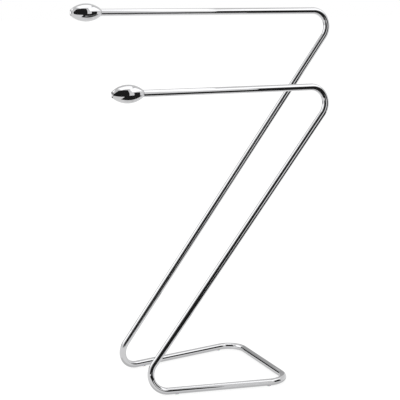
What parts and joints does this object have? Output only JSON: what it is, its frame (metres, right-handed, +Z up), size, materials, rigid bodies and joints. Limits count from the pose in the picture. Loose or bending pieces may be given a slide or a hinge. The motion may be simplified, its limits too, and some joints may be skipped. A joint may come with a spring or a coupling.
{
  "type": "valet stand",
  "caption": "Free-standing towel and clothes valet of bent chromed tube: a flat floor loop, leaning uprights that turn back into level arms, and a spindle-shaped finial on each arm.",
  "frame": {"origin": "on the floor, under the middle of the stand's bounding box", "axes": "+Z up; +X from the arms' free ends towards their top bends; +Y from the lower arm's side to the upper arm's side"},
  "size_m": [0.6748, 0.3058, 0.8897],
  "materials": {
    "tube_chrome": "bright mirror chrome on steel tube",
    "finial_chrome": "bright mirror chrome on a solid die casting",
    "plated_steel": "dull zinc plate, turned",
    "screw_steel": "black oxide",
    "glide_plastic": "frosted clear plastic"
  },
  "bodies": {
    "root": {"base_frame": "tube_chrome", "rear_upright": "tube_chrome", "front_upright": "tube_chrome", "upper_finial": "finial_chrome", "lower_finial": "finial_chrome", "upper_finial_stud": "plated_steel", "lower_finial_stud": "plated_steel", "upper_arm_insert": "plated_steel", "lower_arm_insert": "plated_steel", "rear_joint_spigot": "plated_steel", "front_joint_spigot": "plated_steel", "rear_joint_screw": "screw_steel", "front_joint_screw": "screw_steel", "glide_front_left": "glide_plastic", "glide_front_right": "glide_plastic", "glide_rear_left": "glide_plastic", "glide_rear_right": "glide_plastic"}
  },
  "joints": []
}
